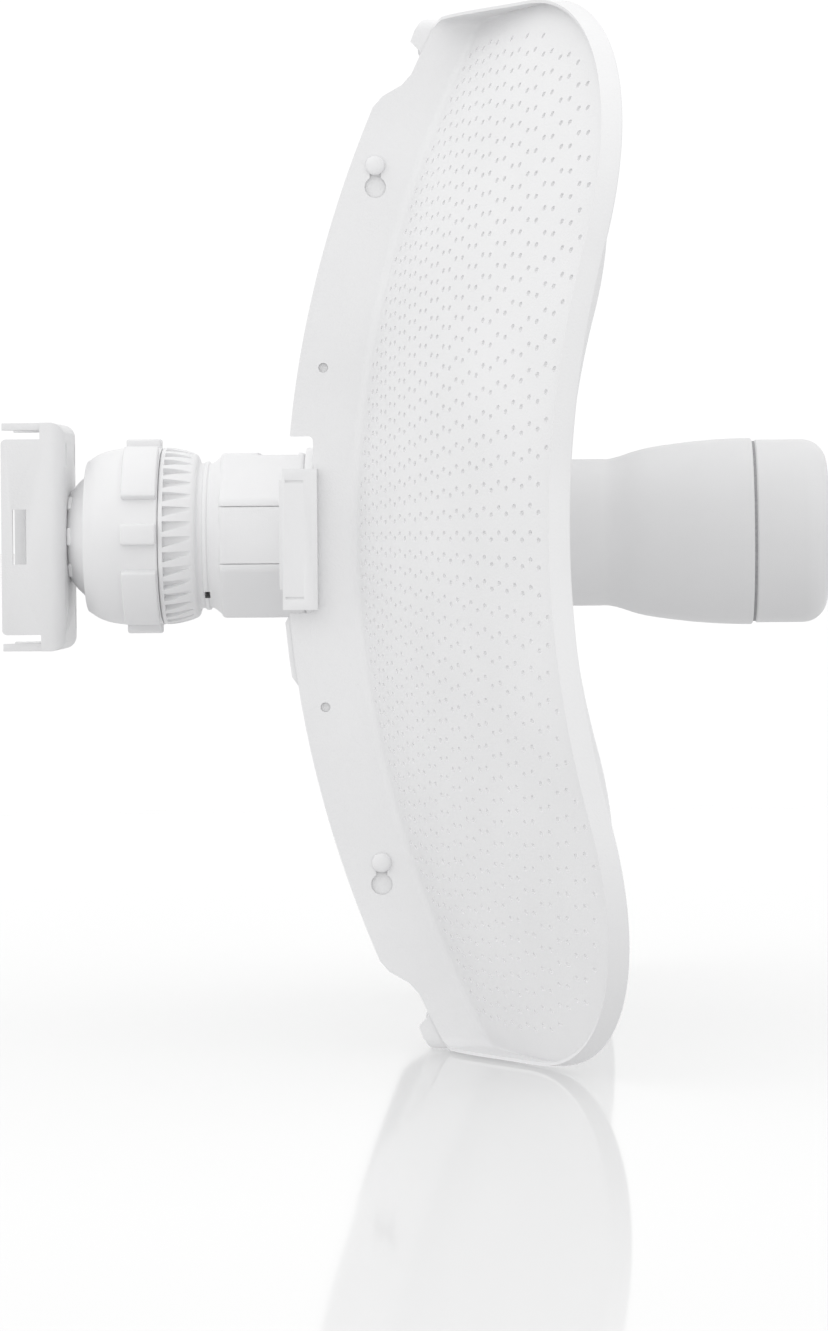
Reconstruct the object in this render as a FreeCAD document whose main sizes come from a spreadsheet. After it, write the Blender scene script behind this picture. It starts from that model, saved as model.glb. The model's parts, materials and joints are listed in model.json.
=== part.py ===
import FreeCAD
import Part
import math
import os
import re
import Sketcher
from FreeCAD import Placement, Rotation, Vector

# Outdoor wireless bridge: a three-panel perforated dish on a ball mount.
# +X is the direction it points, +Z is up, and the origin is on the pole's axis.

DIMENSIONS = (
    ("bracket_back", 18.0, "rear edges of the pole bracket"),
    ("bracket_front", 40.0, "face of the bracket that carries the ball"),
    ("bracket_plate", 2.6, "bracket sheet"),
    ("bracket_half_width", 22.5, "half the bracket's width"),
    ("flange_half_height", 33.9, "half the height of the side flanges"),
    ("bracket_half_height", 39.6, "half the bracket's height over its tabs"),
    ("ball_centre", 62.7, "centre of the ball joint"),
    ("ball_radius", 27.2, "rear part of the ball"),
    ("ball_nose_radius", 24.5, "front part of the ball, inside the liners"),
    ("liner_rear", 9.9, "liner's rear edge ahead of the ball's centre"),
    ("liner_front", 18.2, "liner's front edge ahead of the ball's centre"),
    ("liner_wall", 1.05, "wall of each liner"),
    ("socket_radius", 27.5, "spherical socket of the neck and the nut"),
    ("nut_rear", 46.3, "rear lip of the lock nut"),
    ("nut_front", 72.3, "front face of the lock nut"),
    ("nut_radius", 31.0, "lock nut's body"),
    ("lug_radius", 34.0, "lock nut's grip lugs"),
    ("lug_rear", 60.0, "rear end of the lugs"),
    ("spigot_rear", 65.0, "rear end of the neck's spigot"),
    ("spigot_radius", 29.4, "neck's spigot"),
    ("collar_rear", 72.8, "rear face of the ribbed collar"),
    ("collar_front", 85.5, "front face of the ribbed collar"),
    ("neck_ring_radius", 26.0, "ring between the collar and the octagon"),
    ("octagon_rear", 92.0, "rear face of the octagonal neck"),
    ("octagon_front", 123.0, "front face of the octagonal neck"),
    ("octagon_apothem", 28.7, "half the distance across the neck's flats"),
    ("tube_radius", 25.6, "radio casing behind its flare"),
    ("tube_rear", 94.6, "rear end of the radio casing"),
    ("tube_wall", 2.2, "wall of the radio casing"),
    ("flare_start", 228.3, "where the casing starts to flare"),
    ("flare_radius", 32.5, "widest part of the casing"),
    ("cap_rear", 279.2, "rear edge of the feed cap"),
    ("cap_front", 305.0, "tip of the feed cap"),
    ("cap_radius", 31.9, "feed cap"),
    ("vertex", 127.0, "vertex of the dish"),
    ("focal_length", 164.5, "focal length of the dish"),
    ("dish_half_width", 240.7, "half the dish's width"),
    ("dish_half_height", 169.0, "half the dish's height"),
    ("dish_corner", 82.0, "corner radius of the dish's outline"),
    ("seam", 110.0, "distance of each seam from the middle"),
    ("seam_gap", 0.15, "half the gap between two webs"),
    ("panel_sheet", 1.2, "panel sheet, measured along X"),
    ("skirt_depth", 7.2, "depth of the bent rim"),
    ("web_depth", 24.0, "depth of the wing's web"),
    ("web_end_depth", 16.0, "depth of the wing's web at its ends"),
    ("web_step", 145.5, "height where the wing's web gets shallower"),
    ("hub_hole", 26.3, "hole in the dish for the radio casing"),
    ("notch_top", 32.3, "top of the notch in the webs"),
    ("notch_bottom", -25.7, "bottom of the notch in the webs"),
    ("notch_front", 130.6, "front edge of the notch in the webs"),
    ("board_side", -7.0, "side of the circuit board that carries the parts"),
)

ALIASES = {alias for alias, value, note in DIMENSIONS}
SIZES = {alias: value for alias, value, note in DIMENSIONS}
PEG_PLACES = ((24.8, 120.8), (25.0, -107.6))    # ahead of the vertex, and height
ALONG_X = Rotation(Vector(0, 1, 0), 90)
ALONG_Y = Rotation(Vector(1, 0, 0), -90)
ALONG_Z = Rotation()

doc = FreeCAD.newDocument("wireless_bridge")


def formula(text):
    """Point every sheet alias in the text at the sheet."""
    return re.sub(r"[a-z_]+", lambda word: "dims." + word[0] if word[0] in ALIASES else word[0], str(text))


def make_sheet():
    sheet = doc.addObject("Spreadsheet::Sheet", "dims")
    for row, (alias, value, note) in enumerate(DIMENSIONS, start=1):
        sheet.set(f"A{row}", note)
        sheet.set(f"B{row}", str(value))
        sheet.setAlias(f"B{row}", alias)
    doc.recompute()


def bind(item, sizes):
    for path, text in sizes.items():
        item.setExpression(path, formula(text))
    return item


def place(item, x="0", y="0", z="0", turn=ALONG_Z):
    item.Placement = Placement(Vector(), turn)
    return bind(item, {"Placement.Base.x": x, "Placement.Base.y": y, "Placement.Base.z": z})


def block(name, x, y, z):
    """A box between (low, high) formulas on each axis."""
    item = doc.addObject("Part::Box", name)
    bind(item, {"Length": f"({x[1]}) - ({x[0]})", "Width": f"({y[1]}) - ({y[0]})",
                "Height": f"({z[1]}) - ({z[0]})"})
    return place(item, x[0], y[0], z[0])


def mid_block(name, x, half_y, half_z):
    return block(name, x, (f"-({half_y})", half_y), (f"-({half_z})", half_z))


def rod(name, radius, length, x="0", y="0", z="0", turn=ALONG_X):
    item = doc.addObject("Part::Cylinder", name)
    bind(item, {"Radius": radius, "Height": length})
    return place(item, x, y, z, turn)


def ball(name, radius):
    item = doc.addObject("Part::Sphere", name)
    bind(item, {"Radius": radius})
    return place(item, "ball_centre")


def cut(name, base, *tools):
    item = doc.addObject("Part::Cut", name)
    item.Base = base
    item.Tool = tools[0] if len(tools) == 1 else fuse(name + "_tools", *tools)
    return item


def carve(name, base, *tools):
    """Cut the tools away one after another."""
    for number, tool in enumerate(tools, start=1):
        base = cut(name if number == len(tools) else f"{name}_stage", base, tool)
    return base


def fuse(name, *pieces):
    item = doc.addObject("Part::MultiFuse", name)
    item.Shapes = list(pieces)
    return item


def common(name, *pieces):
    item = doc.addObject("Part::MultiCommon", name)
    item.Shapes = list(pieces)
    return item


def group(name, *pieces):
    item = doc.addObject("Part::Compound", name)
    item.Links = list(pieces)
    return item


def rounded(name, base, radius, wanted):
    """Fillet the edges of base whose middle point and direction are wanted."""
    doc.recompute()
    item = doc.addObject("Part::Fillet", name)
    item.Base = base
    chosen = []
    for number, edge in enumerate(base.Shape.Edges, start=1):
        middle = edge.valueAt((edge.FirstParameter + edge.LastParameter) / 2)
        if wanted(middle, edge.tangentAt(edge.FirstParameter)):
            chosen.append((number, radius, radius))
    item.Edges = chosen
    return item


def outlined_body(name, plane_role, outline):
    """A body with a closed sketch whose corners are pairs of formulas."""
    body = doc.addObject("PartDesign::Body", name)
    sketch = body.newObject("Sketcher::SketchObject", name + "_outline")
    plane = [item for item in body.Origin.OriginFeatures if item.Role == plane_role][0]
    sketch.AttachmentSupport = (plane, [""])
    sketch.MapMode = "FlatFace"
    count = len(outline)
    start = [Vector(math.cos(2 * math.pi * i / count), math.sin(2 * math.pi * i / count), 0)
             for i in range(count)]
    for i in range(count):
        sketch.addGeometry(Part.LineSegment(start[i], start[(i + 1) % count]), False)
    for i in range(count):
        sketch.addConstraint(Sketcher.Constraint("Coincident", i, 2, (i + 1) % count, 1))
    for i, corner in enumerate(outline):
        for kind, text, value in zip(("DistanceX", "DistanceY"), corner, start[i]):
            index = sketch.addConstraint(Sketcher.Constraint(kind, i, 1, value))
            sketch.setExpression(f"Constraints[{index}]", formula(text))
    return body, sketch


def lathe(name, outline):
    """Turn a closed outline of (x, radius) formulas about the X axis."""
    body, sketch = outlined_body(name, "XZ_Plane", outline)
    turned = body.newObject("PartDesign::Revolution", name + "_turned")
    turned.Profile = sketch
    turned.ReferenceAxis = (sketch, ["H_Axis"])
    turned.Angle = 360
    return body


def slab(name, plane_role, outline, thickness):
    """Pad a closed outline evenly to both sides of an origin plane."""
    body, sketch = outlined_body(name, plane_role, outline)
    pad = body.newObject("PartDesign::Pad", name + "_pad")
    pad.Profile = sketch
    pad.Midplane = True
    bind(pad, {"Length": thickness})
    return body


def dish_layer(name, front, back):
    """The space between two copies of the paraboloid, moved along X."""
    reach = 1.25 * SIZES["dish_half_width"]
    depth = reach ** 2 / (4 * SIZES["focal_length"])
    parabola = Part.BezierCurve()
    parabola.setPoles([Vector(), Vector(0, reach / 2, 0), Vector(depth, reach, 0)])
    face_arc = parabola.toShape()
    rear_arc = face_arc.copy()
    face_arc.translate(Vector(front, 0, 0))
    rear_arc.translate(Vector(back, 0, 0))
    ends = [Part.makeLine(face_arc.Vertexes[i].Point, rear_arc.Vertexes[i].Point) for i in (0, 1)]
    wire = Part.Wire(Part.__sortEdges__([face_arc, rear_arc] + ends))
    item = doc.addObject("Part::Feature", name)
    item.Shape = Part.Face(wire).revolve(Vector(), Vector(1, 0, 0), 360)
    return place(item, "vertex")


def make_pole_bracket():
    tray = rounded("tray_outside",
                   mid_block("tray_block", ("bracket_back", "bracket_front"), "bracket_half_width",
                             "bracket_half_height"),
                   5.0, lambda point, way: point.x > SIZES["bracket_front"] - 0.1)
    inside = rounded("tray_inside",
                     mid_block("tray_inside_block", ("bracket_back - 1", "bracket_front - bracket_plate"),
                               "bracket_half_width - bracket_plate",
                               "bracket_half_height - bracket_plate"),
                     2.4, lambda point, way: point.x > SIZES["bracket_front"] - SIZES["bracket_plate"] - 0.1)
    tools = [inside]
    for side in (-1, 1):
        for end in (-1, 1):
            y = sorted((side * 19.2, side * 24.0))
            z = sorted((end * SIZES["flange_half_height"], end * 41.0))
            tools.append(block("corner_relief", ("bracket_back - 1", "bracket_front - 8.5"), y, z))
            slot_z = end * 28.5
            slot_y = side * 15.0
            tools.append(block("web_slot", ("bracket_front - 4", "bracket_front + 1"),
                               (slot_y - 2, slot_y + 2), (slot_z - 2.2, slot_z + 2.2)))
            for tip in (-2.2, 2.2):
                tools.append(rod("web_slot_end", 2.0, 5.0, "bracket_front - 4", slot_y, slot_z + tip))
    tools.append(mid_block("strap_slots", ("bracket_back + 3.9", "bracket_back + 8.7"),
                           "bracket_half_width + 1", "9.5"))
    tools.append(rod("screw_hole", 3.3, 6.0, "bracket_front - 4"))
    tools.append(slab("pole_notch", "XY_Plane",
                      [("bracket_back - 1", "-19.5"), ("bracket_back", "-19"), ("bracket_back + 11", "0"),
                       ("bracket_back", "19"), ("bracket_back - 1", "19.5")], "90"))
    def flange_corner(point, way):
        at_back = abs(point.x - SIZES["bracket_back"]) < 0.1
        at_end = abs(abs(point.z) - SIZES["flange_half_height"]) < 0.1
        return at_back and at_end and abs(way.y) > 0.9

    return rounded("pole_bracket", cut("bracket_blank", tray, *tools), 1.8, flange_corner)


def make_mount_ball():
    rear = common("ball_rear_part", ball("ball_rear", "ball_radius"),
                  mid_block("ball_rear_limit", ("bracket_front", "ball_centre + 1"), 40, 40))
    nose = common("ball_nose_part", ball("ball_nose", "ball_nose_radius"),
                  mid_block("ball_nose_limit", ("ball_centre", "ball_centre + 18"), 40, 40))
    feet = []
    for quarter in range(4):
        foot = doc.addObject("Part::Box", "ball_foot")
        bind(foot, {"Length": "3.4", "Width": "7", "Height": "5"})
        turn = Rotation(Vector(1, 0, 0), 90 * quarter)
        corner = turn.multVec(Vector(0, -3.5, 12.2))
        place(foot, "bracket_front", corner.y, corner.z, turn)
        feet.append(foot)
    bore = rod("ball_bore", 3.0, 20, "bracket_front - 1")
    return cut("mount_ball", fuse("ball_solid", rear, nose, *feet), bore)


def make_ball_screw():
    return lathe("ball_screw", [("bracket_front - bracket_plate - 6.0", "0"),
                                ("bracket_front - bracket_plate - 6.0", "4.4"),
                                ("bracket_front - bracket_plate - 5.2", "5.2"),
                                ("bracket_front - bracket_plate - 1.6", "5.2"),
                                ("bracket_front - bracket_plate - 1.6", "3.0"),
                                ("bracket_front + 17", "3.0"), ("bracket_front + 18", "2.2"),
                                ("bracket_front + 18", "0")])


def make_ball_washer():
    return lathe("ball_washer", [("bracket_front - bracket_plate - 1.6", "3.1"),
                                 ("bracket_front - bracket_plate - 1.6", "6.5"),
                                 ("bracket_front - bracket_plate", "6.5"),
                                 ("bracket_front - bracket_plate", "3.1")])


def make_liner(name, inner_radius):
    band = mid_block(name + "_band", ("ball_centre + liner_rear", "ball_centre + liner_front"), 40, 40)
    skin = common(name + "_skin", ball(name + "_outside", inner_radius + " + liner_wall"), band)
    return cut(name, skin, ball(name + "_inside", inner_radius))


def make_lock_nut():
    solid = lathe("nut_turned", [("nut_rear", "18"), ("nut_rear", "26.6"), ("nut_rear + 3.7", "29.2"),
                                 ("nut_rear + 9.7", "nut_radius"), ("nut_front", "nut_radius"),
                                 ("nut_front", "29.7"), ("ball_centre + 1.6", "29.7"),
                                 ("ball_centre + 1.6", "18")])
    lugs = []
    for quarter in range(4):
        for centre, spread in ((1, 12.5), (46, 44)):
            lug = doc.addObject("Part::Cylinder", "nut_lug")
            bind(lug, {"Radius": "lug_radius", "Height": "nut_front - lug_rear", "Angle": spread})
            start = 90 * quarter + centre - spread / 2
            place(lug, "lug_rear", "0", "0", Rotation(Vector(1, 0, 0), start) * ALONG_X)
            lugs.append(lug)
    ring = cut("lug_ring", fuse("lug_sectors", *lugs),
               rod("lug_core", "nut_radius - 0.6", 40, "lug_rear - 1"))
    return cut("lock_nut", fuse("nut_solid", solid, ring), ball("nut_socket", "socket_radius"))


def make_ribbed_collar():
    solid = lathe("collar_turned", [("collar_rear", "28.9"), ("collar_rear", "30.8"),
                                    ("collar_rear + 3", "30.9"), ("collar_rear + 8", "29.9"),
                                    ("collar_front", "27.6"), ("collar_front", "26.3")])
    pockets = []
    for number in range(18):
        pocket = doc.addObject("Part::Box", "collar_pocket")
        bind(pocket, {"Length": "9.4", "Width": "2.4", "Height": "6"})
        turn = Rotation(Vector(1, 0, 0), 20 * number)
        corner = turn.multVec(Vector(0, -1.2, 29.3))
        place(pocket, "collar_rear + 1.4", corner.y, corner.z, turn)
        pockets.append(pocket)
    return cut("ribbed_collar", solid, *pockets)


def make_neck_housing():
    rear = lathe("neck_turned", [("spigot_rear", "0"), ("spigot_rear", "spigot_radius"),
                                 ("collar_rear", "spigot_radius"), ("collar_rear", "28.7"),
                                 ("collar_front", "26.1"), ("collar_front", "neck_ring_radius"),
                                 ("octagon_rear", "neck_ring_radius"), ("octagon_rear", "0")])
    octagon = doc.addObject("Part::Prism", "neck_octagon")
    octagon.Polygon = 8
    bind(octagon, {"Circumradius": "octagon_apothem / cos(22.5)", "Height": "octagon_front - octagon_rear"})
    place(octagon, "octagon_rear", "0", "0", ALONG_X * Rotation(Vector(0, 0, 1), 22.5))
    tools = [
        ball("neck_socket", "socket_radius"),
        rod("cable_way", 11.0, 20, "80"),
        rod("tube_bore", "tube_radius + 0.3", 40, "tube_rear - 1.6"),
        block("port_window", (95.2, 119.0), (-8.5, 8.5), (-30, -18)),
        rod("pin_hole", 0.8, 21, 97, -10.5, -27.3, ALONG_Y),
        block("latch_window", (107.6, 119.4), (-9.4, 9.4), (20, 30)),
        block("front_relief", (106.8, 120.4), (-9.4, 9.4), (27.6, 30)),
        block("ring_window", ("collar_front + 1.5", "octagon_rear - 0.5"), (-24, -16), (-21.5, -18.5)),
    ]
    for number in range(3):
        tools.append(rod("lens_hole", 1.2, 6, 100 + 5 * number, 24, 9, ALONG_Y))
    return cut("neck_housing", fuse("neck_solid", rear, octagon), *tools)


def make_release_latch():
    plate = block("latch_plate", (108.0, 119.0), (-9.0, 9.0), (26.2, 27.4))
    ridges = [block("latch_ridge", (x, x + 1), (-7, 7), (27.3, 28.0)) for x in (110.5, 113, 115.5)]
    hook = block("latch_hook", (109.5, 112.0), (-4, 4), (25.4, 26.3))
    return fuse("release_latch", plate, hook, *ridges)


def make_port_door():
    plate = block("door_plate", (97.3, 118.6), (-8.1, 8.1), (-28.6, -27.0))
    knuckle = rod("door_knuckle", 1.35, 16.2, 97, -8.1, -27.3, ALONG_Y)
    lip = block("door_lip", (117.2, 118.6), (-4, 4), (-29.4, -28.5))
    bore = rod("door_bore", 0.85, 18, 97, -9, -27.3, ALONG_Y)
    return cut("port_door", fuse("door_solid", plate, knuckle, lip), bore)


def make_door_pin():
    return rod("door_pin", 0.8, 21, 97, -10.5, -27.3, ALONG_Y)


def make_door_gasket():
    outside = block("gasket_outside", (99.9, 117.9), (-7.4, 7.4), (-27.0, -26.2))
    inside = block("gasket_inside", (101.0, 116.8), (-6.3, 6.3), (-28, -25))
    return cut("door_gasket", outside, inside)


def make_reset_button():
    stem = rod("button_stem", 0.9, 3.4, 117, -5.3, -21.6, ALONG_Z)
    head = rod("button_head", 1.3, 0.8, 117, -5.3, -22.2, ALONG_Z)
    return fuse("reset_button", stem, head)


def make_reset_switch():
    case = block("switch_case", (115.2, 118.8), ("board_side", "board_side + 3.5"), (-20.4, -15.6))
    return cut("reset_switch", case, rod("switch_bore", 1.2, 4.0, 117, -5.3, -21.0, ALONG_Z))


def make_feed_tube():
    shell = lathe("tube_turned", [
        ("tube_rear", "tube_radius - tube_wall"), ("tube_rear", "tube_radius"),
        ("flare_start", "tube_radius"), ("flare_start + 9.7", "28.4"), ("flare_start + 23.2", "30.7"),
        ("flare_start + 36.7", "32"), ("flare_start + 46", "flare_radius"),
        ("cap_rear - 1", "flare_radius"), ("cap_rear - 1", "flare_radius - tube_wall"),
        ("flare_start + 36.7", "32 - tube_wall"), ("flare_start + 23.2", "30.7 - tube_wall"),
        ("flare_start + 9.7", "28.4 - tube_wall"), ("flare_start", "tube_radius - tube_wall")])
    return cut("feed_tube", shell,
               block("tube_port_window", (98.8, 119.0), (-8.5, 8.5), (-30, -18)),
               block("tube_latch_recess", (106.5, 121.0), (-11, 11), (24.6, 30)),
               rod("tube_lens_hole_rear", 1.2, 6, 100, 20, 9, ALONG_Y),
               rod("tube_lens_hole_middle", 1.2, 6, 105, 20, 9, ALONG_Y),
               rod("tube_lens_hole_front", 1.2, 6, 110, 20, 9, ALONG_Y))


def make_feed_cap():
    return lathe("feed_cap", [
        ("cap_rear", "cap_radius - 1.8"), ("cap_rear", "cap_radius"), ("cap_front - 8.5", "cap_radius"),
        ("cap_front - 4.6", "30.9"), ("cap_front - 2.2", "28.6"), ("cap_front - 0.9", "25.0"),
        ("cap_front", "16.0"), ("cap_front", "0"), ("cap_front - 1.8", "0"), ("cap_front - 1.8", "15.5"),
        ("cap_front - 2.8", "24.4"), ("cap_front - 4", "27.2"), ("cap_front - 6.2", "29.3"),
        ("cap_front - 9", "cap_radius - 1.8")])


def make_cap_gasket():
    return lathe("cap_gasket", [("cap_rear - 1", "30.2"), ("cap_rear - 1", "31.4"), ("cap_rear", "31.4"),
                                ("cap_rear", "30.2")])


def make_tube_gasket():
    return lathe("tube_gasket", [("tube_rear - 1.6", "22.6"), ("tube_rear - 1.6", "25.5"),
                                 ("tube_rear", "25.5"), ("tube_rear", "22.6")])


def panel_outline(name, y, inset, corners_at):
    """The dish's outline between two Y formulas, as a long prism, moved in by inset."""
    solid = block(name + "_block", ("vertex - 40", "vertex + 130"), y,
                  (f"-dish_half_height + {inset}", f"dish_half_height - {inset}"))
    if not corners_at:
        return solid
    return rounded(name, solid, SIZES["dish_corner"] - inset,
                   lambda point, way: abs(way.x) > 0.9 and abs(point.y) > corners_at)


def make_centre_panel(face, inside, beyond_rim, beyond_end):
    edge = "seam - seam_gap"
    outside = panel_outline("centre_outside", (f"-{edge}", edge), 0, 0)
    core = panel_outline("centre_core", (f"-({edge} - 1)", f"{edge} - 1"), 1, 0)
    whole = common("centre_whole", face, outside)
    hollow = common("centre_hollow", inside, core)
    rim_end = common("centre_rim_end", beyond_rim,
                     mid_block("centre_between_webs", ("vertex - 40", "vertex + 130"), f"{edge} - 1",
                               "dish_half_height + 1"))
    tools = [hollow, rim_end, rod("centre_hub_hole", "hub_hole", 60, "vertex - 30")]
    for side in (-1, 1):
        across = sorted((side * (SIZES["seam"] - 6), side * (SIZES["seam"] + 6)))
        tools.append(block("centre_notch", ("vertex - 40", "notch_front"), across, ("notch_bottom", 24)))
        for x, z in PEG_PLACES:
            tools.append(rod("centre_peg_hole", 1.7, 12, SIZES["vertex"] + x, across[0], z, ALONG_Y))
        for end in (-1, 1):
            z = sorted((end * SIZES["web_step"], end * 158.5))
            tools.append(common("centre_web_end", beyond_end,
                                block("centre_end", ("vertex - 40", "vertex + 130"), across, z)))
    return carve("centre_panel", whole, *tools)


def make_wing(name, side, face, inside, beyond_rim, beyond_end):
    near, far = "seam + seam_gap", "dish_half_width"

    def across(low, high):
        return (low, high) if side > 0 else (f"-({high})", f"-({low})")

    outside = panel_outline(name + "_outside", across(near, far), 0, SIZES["seam"] + 60)
    core = panel_outline(name + "_core", across(f"{near} + 1", f"{far} - 1"), 1, SIZES["seam"] + 60)
    whole = common(name + "_whole", face, outside)
    hollow = common(name + "_hollow", inside, core)
    rim = common(name + "_rim", beyond_rim,
                 block(name + "_outboard", ("vertex - 40", "vertex + 130"),
                       across(f"{near} + 1", f"{far} + 9"), (-180, 180)))
    notch = block(name + "_notch", ("vertex - 40", "notch_front"), across("seam - 9", "seam + 9"),
                  ("notch_bottom", "notch_top"))
    tools = [hollow, rim, notch]
    for end in (-1, 1):
        z = sorted((end * SIZES["web_step"], end * 180))
        tools.append(common(name + "_web_end", beyond_end,
                            block(name + "_end", ("vertex - 40", "vertex + 130"),
                                  across("seam - 9", "seam + 20"), z)))
    for x, z in PEG_PLACES:
        hole_x = SIZES["vertex"] + x
        way = across("seam - 9", "seam + 9")
        tools.append(rod(name + "_keyhole", 3.5, 18, hole_x, way[0], z - 7.1, ALONG_Y))
        tools.append(block(name + "_key_slot", (hole_x - 1.8, hole_x + 1.8), way, (z - 6, z)))
        tools.append(rod(name + "_key_end", 1.8, 18, hole_x, way[0], z, ALONG_Y))
    for x, z in ((7.2, 54.7), (7.0, -56.6)):
        tools.append(rod(name + "_web_hole", 1.6, 18, SIZES["vertex"] + x,
                         across("seam - 9", "seam + 9")[0], z, ALONG_Y))
    return carve(name, whole, *tools)


def make_panel_pegs():
    pegs = []
    for side in (-1, 1):
        for x, z in PEG_PLACES:
            stages = []
            for radius, start, end in ((2.6, 107.4, 108.85), (1.6, 108.8, 111.25), (3.2, 111.2, 113.2)):
                y = start if side > 0 else -end
                stages.append(rod("peg_stage", radius, end - start, SIZES["vertex"] + x, y, z, ALONG_Y))
            pegs.append(fuse("panel_peg", *stages))
    return group("panel_pegs", *pegs)


def make_mount_saddle():
    ring = lathe("saddle_ring", [("octagon_front + 0.1", "26.2"), ("octagon_front + 0.1", "30.5"),
                                 ("vertex - 1.0", "30.5"), ("vertex - 1.4", "26.2")])
    pieces = [ring]
    slots = []
    for side in (-1, 1):
        def across(low, high):
            return sorted((side * low, side * high))
        pieces += [
            block("saddle_root", ("octagon_front + 0.1", "vertex - 1"), across(27, 40), (-18, 18)),
            block("saddle_beam", ("vertex - 8", "vertex - 1"), across(31.5, 106), (-18, 18)),
            block("saddle_foot", ("vertex - 6.7", "vertex + 5"), across(103, 108.4), (-18, 18)),
            block("saddle_tongue", ("vertex - 6.4", "vertex + 3.4"), across(108.3, 112), (-24.6, 21.6)),
            block("saddle_head", ("vertex - 6.4", "vertex + 5"), across(111.4, 116.5), (-24.6, 21.6)),
        ]
        for z in (-21.1, 17.0):
            slots.append(block("saddle_slot", ("vertex - 5.4", "vertex + 0.5"), across(115.9, 118),
                               (z, z + 0.8)))
    return cut("mount_saddle", fuse("saddle_solid", *pieces), *slots)


def make_radio_board():
    return block("radio_board", (97.5, 262), ("board_side - 1.6", "board_side"), (-19, 19))


def make_shield_can():
    outside = block("can_outside", (130, 196), ("board_side", "board_side + 4"), (-15, 15))
    inside = block("can_inside", (130.5, 195.5), ("board_side - 1", "board_side + 3.5"), (-14.5, 14.5))
    return cut("shield_can", outside, inside)


def make_heat_spreader():
    plate = block("spreader_plate", (128, 212), ("board_side - 4.6", "board_side - 1.6"), (-17, 17))
    grooves = [block("spreader_groove", (127, 213), ("board_side - 5", "board_side - 3"), (z, z + 2.4))
               for z in range(-14, 14, 5)]
    return cut("heat_spreader", plate, *grooves)


def make_ethernet_jack():
    case = block("jack_case", (99.4, 115), ("board_side", 6.7), (-21, 0))
    socket = block("jack_socket", (101, 113), (-4.3, 4.3), (-22, -6))
    return cut("ethernet_jack", case, socket)


def make_light_pipe():
    bar = block("pipe_bar", (98.5, 111.5), (19.4, 20.8), (7.8, 10.2))
    lenses = [rod("pipe_lens", 1.15, 7.7, 100 + 5 * number, 20.7, 9, ALONG_Y) for number in range(3)]
    return fuse("light_pipe", bar, *lenses)


def make_driver_board():
    disc = rod("driver_disc", 27.5, 1.6, 262)
    hub = rod("driver_cup", 9, 8, 263)
    bore = rod("driver_bore", 7.5, 8, 265)
    return cut("driver_board", fuse("driver_solid", disc, hub), bore)


def make_sub_reflector():
    return lathe("sub_reflector", [("cap_front - 9.6", "0"), ("cap_front - 8.6", "29.4"),
                                   ("cap_front - 7.6", "29.4"), ("cap_front - 8.4", "0")])


def make_bridge():
    panel_face = dish_layer("panel_depth_space", 0, -SIZES["web_depth"])
    panel_inside = dish_layer("panel_inside_space", -SIZES["panel_sheet"], -40)
    beyond_rim = dish_layer("beyond_rim_space", -SIZES["skirt_depth"], -40)
    beyond_end = dish_layer("beyond_web_end_space", -SIZES["web_end_depth"], -40)
    return [
        make_pole_bracket(), make_mount_ball(), make_ball_screw(), make_ball_washer(),
        make_liner("inner_liner", "ball_nose_radius + 0.3"),
        make_liner("outer_liner", "ball_nose_radius + 0.6 + liner_wall"),
        make_lock_nut(), make_ribbed_collar(), make_neck_housing(), make_release_latch(),
        make_port_door(), make_door_pin(), make_door_gasket(), make_reset_button(), make_reset_switch(),
        make_feed_tube(), make_feed_cap(), make_cap_gasket(), make_tube_gasket(),
        make_centre_panel(panel_face, panel_inside, beyond_rim, beyond_end),
        make_wing("right_wing", -1, panel_face, panel_inside, beyond_rim, beyond_end),
        make_wing("left_wing", 1, panel_face, panel_inside, beyond_rim, beyond_end),
        make_panel_pegs(), make_mount_saddle(), make_radio_board(), make_shield_can(),
        make_heat_spreader(), make_ethernet_jack(), make_light_pipe(), make_driver_board(),
        make_sub_reflector(),
    ]


def check_and_write(subparts):
    doc.recompute()
    for item in doc.Objects:
        if "Invalid" in item.State or "Error" in item.State:
            raise RuntimeError(f"{item.Label} failed: {item.State}")
    os.makedirs("parts", exist_ok=True)
    for part in subparts:
        if part.Shape.isNull() or not part.Shape.isValid() or part.Shape.Volume <= 0:
            raise RuntimeError(f"{part.Label} has no valid solid")
        print(f"{part.Label}: {len(part.Shape.Solids)} solids, {part.Shape.Volume:.1f} mm3")
        part.Shape.exportStep(f"parts/{part.Label}.step")


make_sheet()
check_and_write(make_bridge())
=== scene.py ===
import json
import math

import bmesh
import bpy
from bpy.props import FloatProperty, FloatVectorProperty, IntProperty, PointerProperty
from bpy.types import Operator, Panel, PropertyGroup
from mathutils import Matrix, Quaternion, Vector
from mathutils.geometry import delaunay_2d_cdt


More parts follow.
